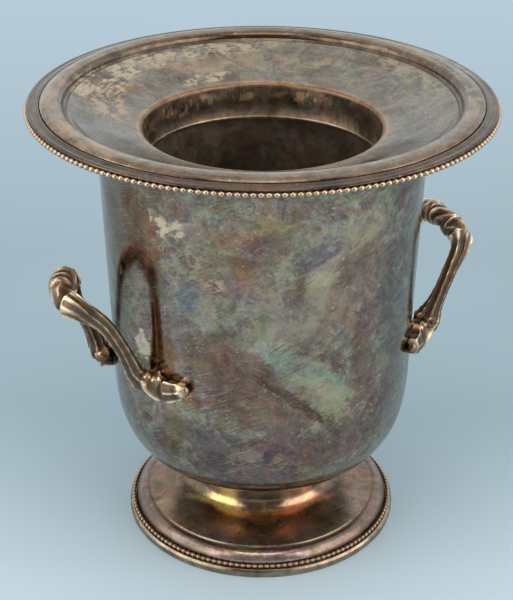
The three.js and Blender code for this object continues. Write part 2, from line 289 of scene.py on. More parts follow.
# ------------------------ collar
LIP_R = 62.6  # where the plate's inner edge meets the neck's rolled top
collar_line = [
    (LIP_R, 230.42),
    (66, 231.1),
    (72, 232.9),
    (80, 235.6),
    (88, 238.6),
    (94, 240.9),
    (96.9, 241.85),
    (97.3, 242.3),
    (98.0, 242.55),
    (98.7, 242.45),
    (99.2, 242.3),
    *quarter(100.3, 243.3, 104.6, 247.2, 8),
    (105.6, 247.42),
    (106.8, 247.5),
    (108.0, 247.42),
    (109.3, 247.1),
    (110.5, 246.65),
    (111.4, 246.2),
    (111.95, 245.6),
    (112.05, 242.8),
]
collar = turned("collar_dished_plate", sheet(collar_line, -SHEET), closed=True)
neck = turned("collar_drawn_neck", [
    (61.0, 212.2),
    (60.6, 211.6),
    (60.5, 210.8),
    (60.8, 210.2),
    (61.4, 210.0),
    (61.9, 210.1),
    (62.2, 210.5),
    (62.2, 228.6),
    (LIP_R - 0.05, 229.2),
    (LIP_R - 0.05, 230.40),
    (62.0, 230.25),
    (61.4, 229.8),
    (61.1, 229.1),
    (61.0, 228.0),
    (61.0, 220.0),
], closed=True)

# ------------------------ liner
liner_line = [
    (0, 44),
    *quarter(67, 61, 50, 44, 12)[::-1],
    (67, 120),
    (67, 180),
    (67, 226),
]
liner = turned("liner_spun_can", sheet(liner_line, CAN_SHEET), closed=False, segments=CAN_SEGMENTS)
liner_wire = turned("liner_edge_wire", circle(68.7, 225, 1.4), closed=True, segments=CAN_SEGMENTS)

# ------------------------ handles
RIGHT_FRONT = [
    (63.8, -55, 114.4), (69.5, -48.5, 112.6), (74.4, -41.6, 111.8), (79.3, -36.6, 113.2),
    (83.6, -34.6, 118.5), (86.8, -34.8, 125.5), (90.8, -34.2, 133.5), (97.5, -31.4, 144.5),
    (105.2, -26.4, 153), (110, -17.5, 156), (109.4, -8.5, 158.4), (107.8, 0, 160.4),
]
LEFT_FRONT = [
    (-63.9, -54.6, 116.3), (-69.6, -48.4, 114), (-74.6, -41.4, 113), (-79.2, -36, 115),
    (-83, -33.4, 119.8), (-86, -33.2, 127), (-89.8, -32.8, 135.4), (-97, -30.4, 147.8),
    (-106.4, -26.2, 155.8), (-113.6, -17, 158.4), (-113, -8, 160.8), (-110.6, -0.5, 160.6),
]
LEFT_REAR = [
    (-71.3, 44.5, 101.7), (-75.5, 39, 98.8), (-79, 33.8, 97.8), (-83, 28, 99.6),
    (-85.8, 25.6, 104.8), (-87.6, 26.2, 112), (-91, 26.2, 121.5), (-96.4, 24, 135),
    (-100.2, 19.4, 147), (-103.6, 12.6, 154.4), (-107.2, 6, 158.6),
]
RIGHT_SIZES = [
    (2.2, 3.1), (3.3, 5.2), (4.4, 6.7), (6.2, 7.3),
    (6.8, 6.6), (4.6, 4.8), (3.7, 4.2), (3.8, 4.5),
    (4.7, 5.4), (5.4, 6), (5.8, 6.2), (5.2, 5.4),
]
LEFT_SIZES = [
    (2.2, 3.1), (3.3, 5.2), (4.3, 6.4), (5, 6.6),
    (4.8, 5.5), (4.1, 4.5), (3.7, 4.2), (3.8, 4.5),
    *RIGHT_SIZES[8:],
]
MIDDLE = 11  # the station at the middle of the crossbar
PER_STATION = 24
AROUND = 144
CAP_TURNS = np.linspace(0, math.pi / 2, 7)[1:-1]  # the rows of points that round off an end
CORNER_X, DRAWN_IN = 116.5, 0.35  # where the corners are drawn in, and by what share
CHASING_R = 4.5  # the radius that the chased lines are laid out on
CURL_FACES = unit(np.array((-0.35, -0.82, 0.45)))


def through(stations):
    """A smooth line through the stations: points, and the station number of each."""
    p = np.array(stations, float)
    p = np.vstack([2 * p[0] - p[1], p, 2 * p[-1] - p[-2]])
    points, places = [], []
    count = len(stations) - 1
    for i in range(count):
        steps = PER_STATION + (i == count - 1)
        for t in np.arange(steps) / PER_STATION:
            a, b, c, d = p[i], p[i + 1], p[i + 2], p[i + 3]
            points.append(0.5 * (2 * b + (c - a) * t + (2 * a - 5 * b + 4 * c - d) * t * t
                                 + (3 * b - a - 3 * c + d) * t ** 3))
            places.append(i + t)
    return np.array(points), np.array(places)


def smooth(x, low, high):
    """0 below low, 1 above high, and a smooth rise between them."""
    t = np.clip((x - low) / (high - low), 0, 1)
    return t * t * (3 - 2 * t)


def between(x, low, high, soft=0.25):
    """1 from low to high, falling smoothly to 0 on both sides."""
    return smooth(x, low - soft, low + soft) * (1 - smooth(x, high - soft, high + soft))


def hump(x, middle, width):
    return np.exp(-((x - middle) / width) ** 2)


def ridges(turn, count):
    """Thin raised lines with hollow channels between them, from 0 in a channel to 1 on a line."""
    return 1 - np.abs(np.sin(turn * count / 2)) ** 0.55


def handle_relief(q, turn, side):
    """How far the casting stands above (+) or below (-) its plain section, as a share of the half
    size. q counts stations from the leaf's tip, turn is 0 on the outward side and a quarter turn on
    the upper side, and side is -1 on the front half and +1 on the rear half."""
    width = np.abs(turn)
    # the leg: a fluted strap that flares into a lip over the corner
    leg = smooth(q, 2.6, 3.6) * (1 - smooth(q, 8.62, 8.78))
    twist = turn + side * 0.09 * (q - 6)
    relief = leg * (0.28 * ridges(twist, 7) + 0.07 * ridges(twist + 0.2, 21) - 0.15)
    relief += 0.2 * smooth(q, 7.9, 8.7) * (1 - smooth(q, 8.72, 8.8)) * (1 + 0.35 * np.cos(turn * 6))
    # its root: hollow, with thin ribs that sweep round into the leaf
    root = between(q, 1.4, 3.3, 0.3)
    swept = (1 - np.abs(np.sin(1.5 * (turn - 0.9 * (q - 2.4))))) ** 1.6
    relief += root * (0.4 * swept - 0.15)
    relief -= 0.17 * hump(q, 1.36 + 0.2 * np.cos(turn), 0.09)
    # the leaf: a hollow tongue with a raised rim and vein, and a rolled tip
    leaf = 1 - smooth(q, 1.18, 1.42)
    ribs = 0.3 * hump(width, 1.15, 0.16) + 0.2 * hump(width, 0.0, 0.12)
    relief += leaf * smooth(q, 0.2, 0.5) * (ribs - 0.1)
    relief += 0.12 * hump(q, 0.3, 0.24) - 0.08 * hump(q, 0.62, 0.1)
    # lobes along the edges
    lobed = between(q, 0.9, 4.4, 0.2) * smooth(width, 0.9, 1.4)
    relief += lobed * 0.15 * (np.abs(np.sin(q * 4.0 + 0.6 * width)) - 0.6)
    # the leaf that wraps the corner, and its collars
    relief -= 0.16 * hump(q, 8.9, 0.09)
    wrap = between(q, 8.97, 9.78, 0.1)
    folds = ridges(turn + side * 0.9 * (q - 9.3), 5)
    relief += wrap * (0.2 * folds + 0.08 * hump(q, 9.35, 0.25) - 0.08)
    relief += 0.13 * hump(q, 9.88, 0.07) + 0.11 * hump(q, 10.1, 0.07)
    relief -= 0.16 * hump(q, 9.99, 0.05) + 0.14 * hump(q, 10.22, 0.06)
    # the twisted crossbar
    bar = smooth(q, 10.2, 10.34)
    lobes = np.abs(np.cos(1.5 * (turn + side * 2.9 * (q - MIDDLE)))) ** 0.5
    relief += bar * (0.34 * lobes - 0.26)
    return relief


def axes_along(line):
    """At each point of a handle's middle line: ahead, outward from the bucket, and across."""
    ahead = unit(np.gradient(line, axis=0))
    outward = unit(line * (1, 1, 0))
    outward = unit(outward - ahead * np.sum(ahead * outward, axis=1)[:, None])
    return ahead, outward, np.cross(ahead, outward)


def laid_on_wall(skin, turn, q):
    """The leaves' backs laid flat on the wall, with their sides running straight down to it."""
    seated = smooth(-np.cos(turn), -0.1, 0.4) * (1 - smooth(q, 2.6, 3.7))
    seat = (np.vectorize(wall_radius)(skin[..., 2]) + BACK_OFF) / np.hypot(skin[..., 0], skin[..., 1])
    skin[..., :2] *= (1 + seated * (seat - 1))[..., None]
    return skin


def kept_clear(vertices):
    """The handle with its corners drawn in to the bucket's width, and nothing of it inside the wall."""
    over = np.maximum(0, np.abs(vertices[:, 0]) - CORNER_X)
    vertices[:, 0] -= np.sign(vertices[:, 0]) * DRAWN_IN * over
    clear = np.vectorize(wall_radius)(vertices[:, 2]) + BACK_OFF
    vertices[:, :2] *= np.maximum(1, clear / np.hypot(vertices[:, 0], vertices[:, 1]))[:, None]
    return vertices


def repeat_ends(values):
    """The values of a handle's rows, with those of its two ends repeated over the caps."""
    count = len(CAP_TURNS)
    return np.concatenate([[values[0]] * count, values, [values[-1]] * count])


def handle(name, stations, half_sizes, bosses, knobs=()):
    """A casting: a section swept through the stations and shaped by the relief, with balls on it."""
    line, place = through(stations)
    sizes, _ = through(half_sizes + half_sizes[:-1][::-1])
    ahead, outward, across = axes_along(line)
    hand = -1 if stations[0][0] > 0 else 1
    turn = np.linspace(-math.pi, math.pi, AROUND, endpoint=False)
    q = np.minimum(place, 2 * MIDDLE - place)[:, None]
    side = np.where(place < MIDDLE, -1.0, 1.0)[:, None]
    relief = handle_relief(q, hand * turn[None, :], side)
    x = (sizes[:, :1] * (1 + relief) * np.cos(turn))[..., None]
    y = (sizes[:, 1:] * (1 + relief) * np.sin(turn))[..., None]
    ring = outward[:, None, :] * x + across[:, None, :] * y

    def cap(end, way, turns):
        reach = way * ahead[end] * sizes[end, 0]
        return [line[end] + ring[end] * math.cos(a) + reach * math.sin(a) for a in turns]

    skin = laid_on_wall(line[:, None, :] + ring, turn, q)
    skin = np.concatenate([cap(0, -1, CAP_TURNS[::-1]), skin, cap(-1, 1, CAP_TURNS)])
    relief = repeat_ends(relief)
    length = repeat_ends(np.append(0, np.cumsum(np.linalg.norm(np.diff(line, axis=0), axis=1))))
    vertices = skin.reshape(-1, 3)
    # dark in the hollows (patina and painted shade), light on the ridges (rubbing and a painted highlight)
    wear_and_light = (0.45 + 1.9 * relief).reshape(-1)
    laid = np.stack(np.broadcast_arrays(CHASING_R * turn[None, :], length[:, None], 0 * relief), -1)
    laid = laid.reshape(-1, 3)
    rings = [range(first, first + AROUND) for first in range(0, len(vertices), AROUND)]
    faces = between_rings(rings) + [list(rings[0])[::-1], list(rings[-1])]
    # the balls: a knob is a curl with a groove round the side that it faces, a boss stands on the skin
    shape, ball_faces = ball(20, 28)
    groove = 1 - 0.2 * hump(np.arccos(np.clip(shape @ CURL_FACES, -1, 1)), 0.8, 0.2)
    balls = [(np.array(knob[:3]), shape * groove[:, None] * knob[3]) for knob in knobs]
    for station, angle, proud, size in bosses:
        row = round(station * PER_STATION)
        k = round((hand * angle + math.pi) / (2 * math.pi) * AROUND) % AROUND
        spot = skin[row + len(CAP_TURNS), k]
        balls.append((spot + unit(spot - line[row]) * proud, shape * size))
    for spot, grown in balls:
        base = len(vertices)
        vertices = np.vstack([vertices, spot + grown])
        # a ball is painted lighter on its upper side: painted light from above
        wear_and_light = np.concatenate([wear_and_light, 0.45 + 0.3 * shape[:, 2]])
        laid = np.vstack([laid, grown])
        faces += [[base + v for v in face] for face in ball_faces]
    piece = add_object(name, kept_clear(vertices) * MM, faces, CAST_SHARP)
    set_wear_and_light(piece, wear_and_light)
    layer = piece.data.attributes.new("skin", "FLOAT_VECTOR", "POINT")
    layer.data.foreach_set("vector", laid.astype(np.float32).reshape(-1))
    return piece


mirrored = [(x, -y, z) for x, y, z in RIGHT_FRONT[:-1][::-1]]
# small bosses: station, turn, how proud, radius
HALF_BOSSES = [(9.99, 1.3, -0.8, 2.2), (3.0, 1.5, -1.3, 2.7), (2.2, 1.45, -1.2, 2.2)]
BOSSES = HALF_BOSSES + [(2 * MIDDLE - station, *rest) for station, *rest in HALF_BOSSES]
REAR_CURL = (-84.6, 21.6, 101.8, 4.3)  # the bent leg's leaf curls up at its root: place, radius
handle_right = handle("handle_cast_right", RIGHT_FRONT + mirrored, RIGHT_SIZES, BOSSES)
handle_left = handle("handle_cast_left", LEFT_FRONT + LEFT_REAR[::-1], LEFT_SIZES, BOSSES, [REAR_CURL])


# ------------------------ materials
def linear(r, g, b):
    """A colour given as 0-255 display values."""
    parts = [v / 255 for v in (r, g, b)]
    return [v / 12.92 if v <= 0.04045 else ((v + 0.055) / 1.055) ** 2.4 for v in parts]


# what a polished surface reflects in this studio: an upright wall sees the floor in front of it,
# a plate that faces up sees the bright wall and ceiling behind, and the inside sees little
WALL_SEES = (0.70, 0.84, 0.93)
PLATE_SEES = (1.1, 1.24, 1.32)
FOOT_SEES = (0.66, 0.75, 0.80)
NECK_SEES = (0.15, 0.138, 0.122)
INSIDE_SEES = (0.107, 0.102, 0.087)
BRIGHTEST = 0.97  # the most that bare silver reflects
MID_GREY = (0.5, 0.5, 0.5, 1)


def film(shown, sees):
    """The reflectance that makes a surface show a colour, given as 0-255 display values. A
    reflectance, which has a fourth value, passes through as it is."""
    if len(shown) == 4:
        return shown
    parts = [v / s for v, s in zip(linear(*shown), sees)]
    return (*[v * min(1.0, BRIGHTEST / max(parts)) for v in parts], 1.0)


class Nodes:
    """A node tree. An input is a plain value or another node's output."""

    def __init__(self, tree):
        self.tree = tree

    def node(self, kind, inputs=None, **settings):
        made = self.tree.nodes.new(kind)
        for key, value in settings.items():
            setattr(made, key, value)
        for key, value in (inputs or {}).items():
            self.feed(value, made.inputs[key])
        return made

    def feed(self, value, socket):
        if isinstance(value, bpy.types.NodeSocket):
            self.tree.links.new(value, socket)
        else:
            socket.default_value = value

    def math(self, operation, a, b=0.0, clamp=False):
        made = self.node("ShaderNodeMath", {0: a, 1: b}, operation=operation, use_clamp=clamp)
        return made.outputs[0]

    def plus(self, a, b):
        return self.math("ADD", a, b)

    def times(self, a, b):
        return self.math("MULTIPLY", a, b)

    def swing(self, noise, amount):
        """Noise moved to swing about zero, by half the amount either way."""
        return self.times(self.math("SUBTRACT", noise, 0.5), amount)

    def vector(self, operation, a, b):
        return self.node("ShaderNodeVectorMath", {0: a, 1: b}, operation=operation).outputs[0]

    def measure(self, operation, a, b=(0, 0, 0)):
        """A number worked out from vectors."""
        return self.node("ShaderNodeVectorMath", {0: a, 1: b}, operation=operation).outputs["Value"]

    def split(self, a):
        return self.node("ShaderNodeSeparateXYZ", {0: a}).outputs

    def joined(self, x, y):
        return self.node("ShaderNodeCombineXYZ", {0: x, 1: y, 2: 0.0}).outputs[0]

    def mix(self, share, a, b, blend="MIX"):
        inputs = {0: share, 6: a, 7: b}
        return self.node("ShaderNodeMix", inputs, data_type="RGBA", blend_type=blend).outputs[2]

    def step(self, value, low, high, to_low=0.0, to_high=1.0):
        inputs = {"Value": value, "From Min": low, "From Max": high, "To Min": to_low, "To Max": to_high}
        return self.node("ShaderNodeMapRange", inputs, interpolation_type="SMOOTHSTEP").outputs[0]

    def noise(self, at, scale, detail=4.0, rough=0.55, distortion=0.0, result="Fac"):
        inputs = {"Vector": at, "Scale": scale, "Detail": detail, "Roughness": rough,
                  "Distortion": distortion}
        return self.node("ShaderNodeTexNoise", inputs).outputs[result]

    def ramp(self, value, stops):
        made = self.node("ShaderNodeValToRGB", {0: value})
        ramp = made.color_ramp
        while len(ramp.elements) < len(stops):
            ramp.elements.new(0.5)
        for element, (at, colour) in zip(ramp.elements, stops):
            element.position, element.color = at, colour
        return made.outputs[0]

    def mapped(self, at, location=(0, 0, 0), turn=0.0, scale=(1, 1, 1)):
        """The place in a frame that is moved, turned about Z and scaled."""
        inputs = {"Vector": at, "Location": location, "Rotation": (0, 0, turn), "Scale": scale}
        return self.node("ShaderNodeMapping", inputs, vector_type="TEXTURE").outputs[0]

    def warped(self, at, scale, amount):
        """The place, moved about by noise so that patches get ragged edges."""
        colour = self.noise(at, scale, 5.0, 0.6, result="Color")
        move = self.vector("SUBTRACT", colour, MID_GREY[:3])
        return self.vector("ADD", at, self.vector("MULTIPLY", move, (amount, amount, amount)))

    def strokes(self, flat, tilt, length_mm, spacing_mm, seed):
        """Noise drawn out into fine straight lines at a tilt."""
        local = self.mapped(flat, (seed, seed * 0.7, 0), math.radians(tilt))
        bent = self.warped(local, 55, 0.0018)
        squeezed = self.mapped(bent, scale=(length_mm * MM, spacing_mm * MM, 1))
        return self.noise(squeezed, 1.0, 3.0, 0.6)

    def bump(self, height, distance, strength, normal=None):
        made = self.node("ShaderNodeBump", {"Height": height, "Distance": distance, "Strength": strength})
        if normal is not None:
            self.feed(normal, made.inputs["Normal"])
        return made.outputs[0]


class Look(Nodes):
    """One material, and the place on the piece that its nodes work from."""

    def __init__(self, name):
        self.material = bpy.data.materials.new(name)
        self.material.use_nodes = True
        super().__init__(self.material.node_tree)
        self.place = self.node("ShaderNodeTexCoord").outputs["Object"]

    def finish(self, colour, roughness, normal=None, metallic=1.0):
        shader = self.tree.nodes["Principled BSDF"]
        self.feed(colour, shader.inputs["Base Color"])
        self.feed(roughness, shader.inputs["Roughness"])
        self.feed(metallic, shader.inputs["Metallic"])
        if normal is not None:
            self.feed(normal, shader.inputs["Normal"])
        return self.material


FRONT = math.radians(-112.5)  # the unrolled wall is cut opposite this side
BEHIND = FRONT + math.pi  # and the inside is seen on the other side
PLATE_MEAN_R = 85  # where marks on a plate are their true length
OVAL_EDGE, CHIP_SOFT = 0.95, 0.3  # in half sizes of the oval
SPECK = (176, 166, 146)


class Wall:
    """An upright turned surface laid flat: metres round it from its middle, and height."""

    def __init__(self, radius, middle=FRONT):
        self.radius = radius * MM
        self.middle = middle

    def flat(self, look):
        x, y, z = look.split(look.mapped(look.place, turn=self.middle))
        return look.joined(look.times(look.math("ARCTAN2", y, x), self.radius), z)

    def brushed(self, look, flat):
        """Polishing marks run round the wall, as the flat place does."""
        return flat

    def spot(self, degrees, height):
        """Where a patch lies on the flat place, and the angle that its length turns by."""
        turn = (math.radians(degrees) - self.middle + math.pi) % (2 * math.pi) - math.pi
        return (turn * self.radius, height * MM, 0), 0.0


class Plate:
    """A dished or flat turned surface seen from above: patches are placed by angle and radius."""

    def flat(self, look):
        return look.vector("MULTIPLY", look.place, (1, 1, 0))

    def brushed(self, look, flat):
        """Metres round the plate, and radius: polishing marks run round it."""
        x, y, _ = look.split(look.mapped(look.place, turn=FRONT))
        round_it = look.times(look.math("ARCTAN2", y, x), PLATE_MEAN_R * MM)
        return look.joined(round_it, look.measure("LENGTH", flat))

    def spot(self, degrees, radius):
        turn = math.radians(degrees)
        return (radius * MM * math.cos(turn), radius * MM * math.sin(turn), 0), turn + math.pi / 2


class Tarnish(Look):
    """Silver plate under a film of tarnish. The film's thickness sets its colour, and each lay_
    method puts one more kind of mark over the colour so far."""

    def __init__(self, name, layout, sees, stops, size_mm, tilts):
        super().__init__(name)
        self.layout, self.sees, self.tilts = layout, sees, tilts
        self.flat = layout.flat(self)
        self.moved = self.warped(self.flat, 30, 0.015)
        self.brushed = layout.brushed(self, self.flat)
        self.drawn = self.strokes(self.brushed, tilts[0], 7, 1.3, 2.3)
        self.crumbs = self.noise(self.place, 210, 7.0, 0.72)
        self.fine = self.noise(self.place, 620, 5.0, 0.75)
        self.bent = self.warped(self.place, 30, 0.02)
        self.wide = self.noise(self.bent, 1000 / size_mm, 7.0, 0.62, 0.5)
        self.small = self.noise(self.warped(self.place, 120, 0.005), 2600 / size_mm, 6.0, 0.66, 0.8)
        broken = self.step(self.noise(self.bent, 3300 / size_mm, 5.0, 0.6, 1.0), 0.46, 0.53, 0.05, 0.85)
        stops = [(at, film(shown, sees)) for at, shown in stops]
        self.colour = self.mix(broken, self.ramp(self.wide, stops), self.ramp(self.small, stops))

    def lay(self, share, shown):
        self.colour = self.mix(share, self.colour, film(shown, self.sees))

    def tint(self, share, tone):
        self.colour = self.mix(share, self.colour, tone, "OVERLAY")

    def oval(self, where, half, tilt, strength, ragged, soft):
        """A share that is strong in an oval and falls to nothing over its edge."""
        spot, turn = self.layout.spot(*where)
        size = (half[0] * MM, half[1] * MM, 1)
        far = self.measure("LENGTH", self.mapped(self.moved, spot, turn + math.radians(tilt), size))
        return self.step(self.plus(far, ragged), OVAL_EDGE - soft, OVAL_EDGE + soft, strength, 0.0)

    def lay_patches(self, patches, torn, soft):
        """Places where the film grew or was rubbed differently, and places of painted highlight, painted
        reflection and painted shade. Their edges are broken by fine noise and drawn out along the polishing
        marks."""
        ragged = self.plus(self.swing(self.drawn, 1.3 * torn), self.swing(self.crumbs, 1.5 * torn))
        for where, half, tilt, shown, strength in patches:
            self.lay(self.oval(where, half, tilt, strength, ragged, soft), shown)

    def lay_zones(self, zones):
        """Bands of another film between two radii. A band may also be painted shade."""
        radius = self.measure("LENGTH", self.vector("MULTIPLY", self.place, (1, 1, 0)))
        uneven = self.step(self.small, 0.3, 0.56, 0.45, 1.0)
        for low, high, soft, shown, strength in zones:
            inner = self.step(radius, (low - soft) * MM, (low + soft) * MM, 0.0, strength)
            outer = self.step(radius, (high - soft) * MM, (high + soft) * MM, 1.0, 0.0)
            self.lay(self.times(self.times(inner, outer), uneven), shown)

    def lay_clouds(self, hues):
        """Small clouds of darker and lighter, and of warmer and cooler, film, and a fine grain."""
        cloud = self.noise(self.bent, 95, 5.0, 0.6, 0.8)
        self.tint(0.75, self.ramp(cloud, [(0.36, (0.33, 0.315, 0.315, 1)), (0.62, (0.67, 0.67, 0.66, 1))]))
        hue = self.noise(self.bent, 80, 6.0, 0.62, 0.6, "Color")
        self.tint(hues, self.mix(0.5, MID_GREY, hue))
        self.tint(0.7, self.ramp(self.fine, [(0.32, (0.36, 0.355, 0.35, 1)), (0.7, (0.65, 0.65, 0.65, 1))]))

    def lay_scratches(self, strength, light, dark):
        """Light scratches that run one way in the areas that were rubbed hardest and another way in
        the rest, and deeper dark ones in the worn areas."""
        rubbed = self.step(self.noise(self.place, 24, 3.0), 0.44, 0.56)
        first = self.step(self.strokes(self.brushed, self.tilts[0], 13, 0.75, 0.31), 0.56, 0.66)
        other = self.step(self.strokes(self.brushed, self.tilts[1], 9, 0.8, 0.77), 0.58, 0.68)
        calm = self.math("SUBTRACT", 1.0, rubbed)
        self.marks = self.math("ADD", self.times(first, rubbed), self.times(other, calm), clamp=True)
        self.lay(self.times(self.marks, 0.45 * strength), light)
        worn = self.step(self.noise(self.place, 31, 3.0), 0.49, 0.58)
        deep = self.step(self.strokes(self.brushed, self.tilts[2], 8, 0.95, 1.9), 0.55, 0.63)
        self.lay(self.times(self.times(deep, worn), 0.55 * strength), dark)

    def lay_turning_rings(self, strength, light):
        """Fine rings left by the lathe."""
        drawn_out = self.mapped(self.brushed, scale=(0.09, 0.0006, 1))
        rings = self.step(self.noise(drawn_out, 1.0, 3.0), 0.54, 0.68)
        self.lay(self.times(rings, strength), light)

    def lay_chips(self, chips):
        """Places where flakes of the film are gone."""
        lumps = self.times(self.noise(self.place, 100, 6.0, 0.6, 0.6), 0.45)
        lumps = self.plus(lumps, self.times(self.crumbs, 0.3))
        flakes = self.step(self.plus(lumps, self.times(self.drawn, 0.25)), 0.48, 0.535)
        for where, half, tilt, shown, strength in chips:
            share = self.oval(where, half, tilt, strength, 0.0, CHIP_SOFT)
            self.lay(self.times(share, flakes), shown)

    def lay_specks(self, strength):
        """Specks of bare silver."""
        specks = self.step(self.noise(self.place, 420, 2.0, 0.5), 0.67, 0.73)
        self.lay(self.times(specks, 0.6 * strength), SPECK)

    def surface(self, gloss):
        """The finished material: gloss is the roughness where the film is thin and where it is thick."""
        rough = self.plus(self.step(self.wide, 0.35, 0.62, *gloss), self.times(self.marks, 0.1))
        dents = self.bump(self.noise(self.place, 42, 2.0), 0.0006, 0.12)
        normal = self.bump(self.plus(self.fine, self.marks), 0.000018, 0.5, dents)
        return self.finish(self.colour, rough, normal)


def tarnished(name, layout, sees, stops, size_mm, patches=(), zones=(), chips=(), gloss=(0.1, 0.24),
              scratch=1.0, tilts=(24, -32, 29), light=(160, 152, 134), dark=(66, 57, 50), lathe=0.0,
              torn=1.0, soft=0.14, hues=0.75):
    """One tarnished material. Stops are the film's colours by thickness, size_mm is the size of its
    clouds, tilts are the scratches' angles, light and dark their colours, and torn and soft how
    ragged and how gradual the edges of patches are."""
    look = Tarnish(name, layout, sees, stops, size_mm, tilts)
    look.lay_patches(patches, torn, soft)
    look.lay_zones(zones)
    look.lay_clouds(hues)
    look.lay_scratches(scratch, light, dark)
    if lathe:
        look.lay_turning_rings(lathe, light)
    look.lay_chips(chips)
    look.lay_specks(scratch)
    return look.surface(gloss)


# Stops: thickness, colour shown
# Patches and chips: (degrees from +X, height or radius), (half length, half width), tilt, shown, strength
# Zones: inner radius, outer radius, softness, shown, strength
RING_TILTS = (4, -7, 3)  # on the plates, scratches run nearly along the turning
CREAM, BARE = (190, 180, 158), (198, 185, 160)
BODY_STOPS = [
    (0.32, (96, 78, 66)),
    (0.40, (122, 108, 92)),
    (0.45, (104, 92, 96)),
    (0.485, (116, 118, 108)),
    (0.53, (138, 140, 126)),
    (0.565, (100, 106, 110)),
    (0.61, (126, 114, 94)),
    (0.68, (92, 76, 74)),
]
BODY_PATCHES = [
    ((-174, 190), (16, 44), 0, (116, 100, 84), 0.7),
    ((-158, 196), (12, 28), 10, (106, 82, 62), 0.8),
    ((-147, 150), (13, 17), 0, (112, 112, 112), 0.5),
    ((-128, 190), (14, 22), 20, (120, 112, 98), 0.5),
    ((-112, 208), (16, 7), 0, (132, 124, 92), 0.65),
    ((-121, 205), (12, 6), 0, (128, 108, 92), 0.6),
    ((-110, 199), (12, 6), -10, (104, 80, 80), 0.75),
    ((-120, 188), (5, 8), 0, (130, 100, 84), 0.6),
    ((-104, 200), (16, 7), 20, (136, 130, 118), 0.6),
    ((-91, 192), (13, 11), 30, (100, 98, 108), 0.65),
    ((-88, 183), (18, 6), 38, (146, 146, 124), 0.8),
    ((-76, 203), (14, 9), 15, (138, 136, 118), 0.75),
    ((-77, 183), (14, 13), 15, (104, 90, 84), 0.7),
    ((-138, 170), (8, 10), 0, (94, 104, 112), 0.65),
    ((-132, 158), (9, 6), -25, (126, 128, 120), 0.7),
    ((-125, 172), (7, 12), 10, (104, 92, 92), 0.6),
    ((-120, 163), (22, 8), -12, (132, 134, 120), 0.6),
    ((-104, 168), (10, 8), 20, (102, 100, 104), 0.6),
    ((-98, 158), (26, 14), 25, (126, 124, 110), 0.5),
    ((-111, 150), (17, 9), 30, (140, 144, 128), 0.8),
    ((-70, 172), (14, 20), 8, (114, 112, 106), 0.5),
    ((-128, 145), (12, 9), -20, (116, 112, 98), 0.6),
    ((-124, 132), (28, 13), -20, (106, 88, 80), 0.8),
    ((-114, 112), (32, 13), -22, (110, 94, 88), 0.8),
    ((-96, 128), (32, 8), -32, (126, 140, 130), 0.85),
    ((-88, 112), (16, 8), -38, (140, 142, 116), 0.85),
    ((-101, 112), (25, 2.6), -38, (78, 62, 54), 0.7),
    ((-73, 128), (8, 26), 12, (100, 84, 80), 0.75),
    ((-58, 130), (12, 60), 4, (96, 98, 102), 0.5),
    ((-145, 88), (13, 12), 20, (110, 106, 86), 0.6),
    # partly a brown tarnish stain, partly a painted reflection of the front-left handle
    ((-151, 76), (10, 10), 0, (86, 74, 58), 0.6),
    ((-147.5, 126), (5.5, 17), 0, (112, 86, 66), 0.8),
    ((-139, 112), (8, 6), -20, (106, 84, 68), 0.6),
    ((-152.5, 140), (3.6, 28), 0, (146, 120, 98), 0.8),
    ((-143, 114), (8, 5), 0, (160, 132, 104), 0.8),
    ((-128, 84), (18, 13), -10, (86, 88, 94), 0.65),
    ((-106, 86), (16, 12), 10, (98, 86, 92), 0.6),
    ((-118, 71), (32, 12), 0, (88, 82, 90), 0.6),
    ((-80, 84), (26, 14), 15, (92, 84, 82), 0.7),
    ((-160, 132), (7, 8), -25, (186, 180, 158), 0.95),
]
BODY_CHIPS = [
    ((-149, 205), (9, 5), -35, CREAM, 0.95),
    ((-141, 203), (4, 5), 10, CREAM, 0.9),
    ((-128, 177), (5, 5), 10, (172, 160, 138), 0.8),
    ((-133, 187), (12, 12), 0, (158, 146, 124), 0.6),
    ((-110, 178), (14, 12), 0, (150, 142, 126), 0.6),
    ((-96, 168), (22, 14), 20, (150, 148, 132), 0.55),
    ((-84, 200), (18, 9), 0, (148, 142, 124), 0.6),
    ((-150, 112), (10, 14), 0, (150, 142, 122), 0.6),
    ((-92, 122), (20, 12), -35, (150, 156, 134), 0.6),
    ((-112, 76), (24, 6), 0, (146, 134, 116), 0.6),
]
BODY_ZONES = [(-10, 50, 4, (205, 198, 186), 0.9)]  # a pale, nearly bare film under the bowl, out to 50 mm from the axis
body_look = tarnished("tarnished_plate_body", Wall(83), WALL_SEES, BODY_STOPS, 32,
                      patches=BODY_PATCHES, zones=BODY_ZONES, chips=BODY_CHIPS)

COLLAR_STOPS = [
    (0.32, (104, 90, 76)),
    (0.41, (134, 126, 114)),
    (0.47, (122, 124, 116)),
    (0.53, (144, 140, 128)),
    (0.58, (122, 122, 118)),
    (0.64, (144, 134, 118)),
    (0.70, (108, 96, 84)),
]
COLLAR_PATCHES = [
    ((140, 88), (18, 12), 0, (112, 94, 76), 0.7),
    ((146, 94), (9, 5), 0, BARE, 0.9),
    ((129, 80), (8, 4), -20, (150, 124, 98), 0.8),
    ((154, 82), (6, 3.5), 20, CREAM, 0.8),
    ((107, 92), (15, 4), 6, CREAM, 0.75),
    ((26, 92), (12, 5), 0, (112, 94, 78), 0.6),
    ((90, 80), (30, 8), 0, (158, 146, 126), 0.7),
    ((-40, 78), (24, 9), 0, (112, 112, 108), 0.6),
    ((178, 84), (24, 16), 0, (106, 107, 106), 0.7),
    ((-150, 84), (20, 7), 0, (120, 116, 110), 0.5),
    ((-50, 90), (40, 8), 0, (112, 108, 100), 0.5),
    # painted light: near-bare film on the front of the dish, lifting its dark reflection of the neck and
    # room
    ((-88, 69), (26, 6.5), 0, (226, 208, 180), 0.8),
    ((-120, 69), (26, 6.5), 0, (214, 198, 172), 0.7),
]
